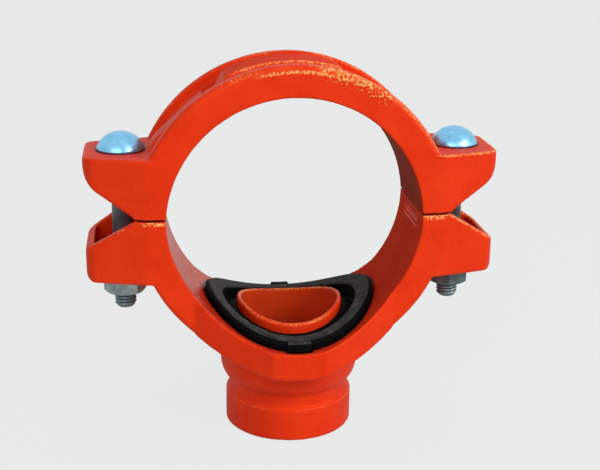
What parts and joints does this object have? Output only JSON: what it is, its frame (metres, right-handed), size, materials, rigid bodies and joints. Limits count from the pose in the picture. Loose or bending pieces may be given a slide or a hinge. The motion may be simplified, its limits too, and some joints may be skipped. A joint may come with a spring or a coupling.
{
  "type": "bolted saddle tee with grooved outlet",
  "caption": "Bolted saddle tee: a strap and a lower housing clamp round a run pipe, a saddle gasket seals on it, and a grooved outlet points down.",
  "frame": {"origin": "where the run pipe's axis crosses the outlet's axis, on the parting plane of the two castings", "axes": "+Y along the run pipe, -Z out of the outlet, +X from the left bolt to the right bolt"},
  "size_m": [0.187, 0.088, 0.175],
  "materials": {
    "orange_red_paint": "glossy dipped paint over a sand-cast surface",
    "gasket_rubber": "matt black moulded rubber",
    "zinc_plate": "bright zinc plate"
  },
  "bodies": {
    "housing": {"outlet_housing": "orange_red_paint", "gasket": "gasket_rubber"},
    "strap": {"strap": "orange_red_paint", "bolt_left": "zinc_plate", "bolt_right": "zinc_plate"},
    "nut_left": {"nut_left": "zinc_plate"},
    "nut_right": {"nut_right": "zinc_plate"}
  },
  "joints": [
    {"name": "strap_lift", "type": "slide", "parent": "housing", "child": "strap", "axis": [0, 0, 1], "range_m": [0, 0.0075]},
    {"name": "nut_left_turn", "type": "hinge", "parent": "housing", "child": "nut_left", "pos_m": [-0.0767, 0, -0.035], "axis": [0, 0, -1], "range_deg": [0, 1800]},
    {"name": "nut_right_turn", "type": "hinge", "parent": "housing", "child": "nut_right", "pos_m": [0.0767, 0, -0.035], "axis": [0, 0, -1], "range_deg": [0, 1800]}
  ],
  "couplings": [
    {"joint": "nut_left_turn", "follows": "strap_lift", "rad_per_m": 4188.8},
    {"joint": "nut_right_turn", "follows": "strap_lift", "rad_per_m": 4188.8}
  ]
}
